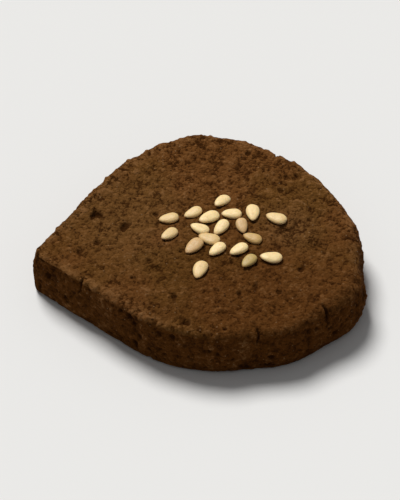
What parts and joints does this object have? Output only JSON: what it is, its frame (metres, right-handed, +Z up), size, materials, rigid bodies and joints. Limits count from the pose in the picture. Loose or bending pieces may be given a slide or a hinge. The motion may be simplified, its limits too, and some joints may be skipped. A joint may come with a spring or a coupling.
{
  "type": "finger millet cookie",
  "caption": "Thick slice of dark brown finger millet cookie, pointed at one end and rounded at the other, with a pinch of sesame on top.",
  "frame": {"origin": "middle of the cookie's bounding box, on the face that it rests on", "axes": "+Z up through the slice, +X from the sharp corner to the broad rounded side, +Y towards the back, away from the long cut side at the front left"},
  "size_m": [0.0532, 0.0446, 0.0104],
  "materials": {
    "crumb": "matt, sandy baked dough",
    "sesame": "satin hulled seed"
  },
  "bodies": {
    "root": {"cookie": "crumb"}
  },
  "joints": []
}
